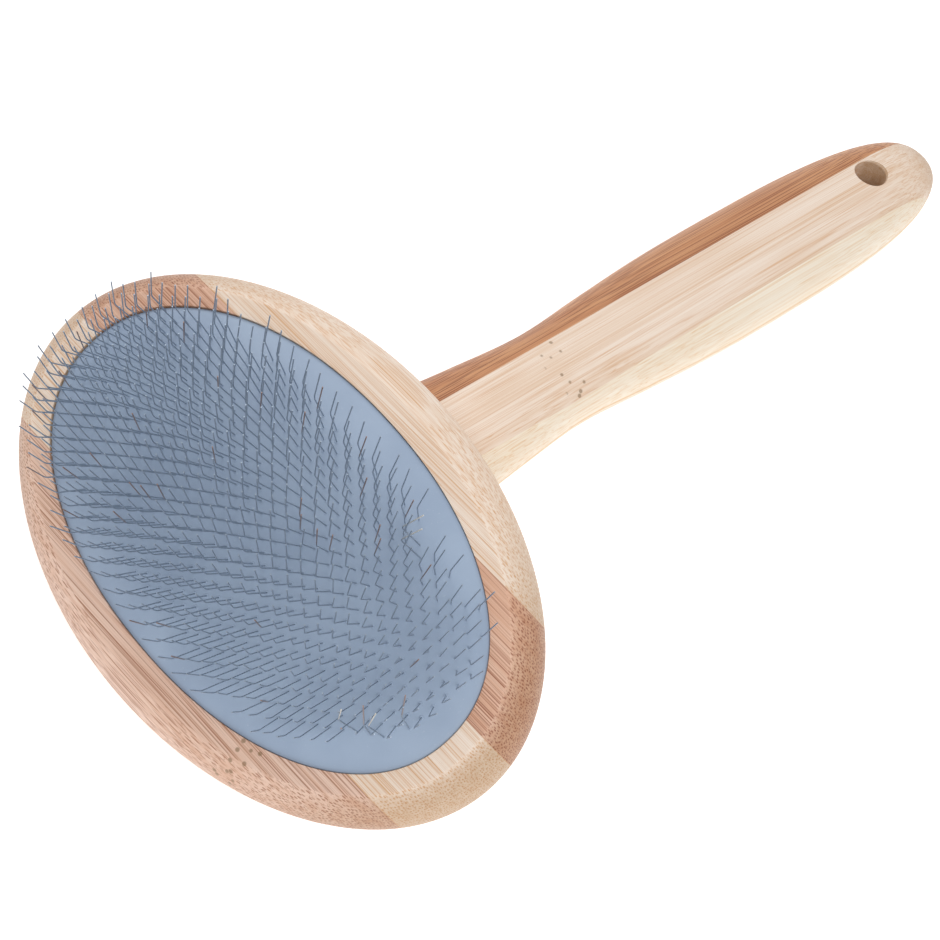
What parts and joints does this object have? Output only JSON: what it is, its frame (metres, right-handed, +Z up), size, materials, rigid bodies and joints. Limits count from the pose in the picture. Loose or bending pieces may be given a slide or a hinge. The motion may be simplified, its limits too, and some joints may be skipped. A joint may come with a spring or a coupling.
{
  "type": "slicker brush",
  "caption": "Pet grooming slicker brush: oval laminated bamboo head with a cushioned field of fine bent wire pins on an angled bamboo handle with a hanging hole.",
  "frame": {"origin": "on the surface the brush lies on, below the middle of its overall box", "axes": "+Y from the head to the handle's tip, +X across the head, +Z up, the side the pins point to"},
  "size_m": [0.137, 0.2476, 0.0589],
  "materials": {
    "bamboo_light": "satin oiled natural bamboo",
    "bamboo_brown": "satin oiled carbonised bamboo",
    "bamboo_pink": "satin oiled reddish bamboo",
    "bamboo_dark": "satin oiled dark carbonised bamboo",
    "screw_steel": "plain zinc plated",
    "foam": "open cell foam",
    "backing_canvas": "woven canvas",
    "pad_rubber": "smooth matt",
    "pin_steel": "drawn wire"
  },
  "bodies": {
    "handle": {"head_strip_rear": "bamboo_light", "head_strip_dark": "bamboo_brown", "head_strip_middle": "bamboo_light", "head_strip_front": "bamboo_pink", "handle_strip_dark": "bamboo_dark", "handle_strip_middle": "bamboo_light", "handle_strip_pale": "bamboo_light", "joint_screws": "screw_steel", "foam_cushion": "foam"},
    "pad": {"pad_backing": "backing_canvas", "pad_face": "pad_rubber", "pin_rows_01": "pin_steel", "pin_rows_02": "pin_steel", "pin_rows_03": "pin_steel", "pin_rows_04": "pin_steel", "pin_rows_05": "pin_steel", "pin_rows_06": "pin_steel", "pin_rows_07": "pin_steel", "pin_rows_08": "pin_steel", "pin_rows_09": "pin_steel", "pin_rows_10": "pin_steel", "pin_rows_11": "pin_steel", "pin_rows_12": "pin_steel", "pin_rows_13": "pin_steel"}
  },
  "joints": [
    {"name": "cushion_press", "type": "slide", "parent": "handle", "child": "pad", "axis": [0, 0.4382, -0.8989], "range_m": [0, 0.003], "stiffness_N_per_m": 3000, "deforming": ["foam_cushion"]}
  ]
}
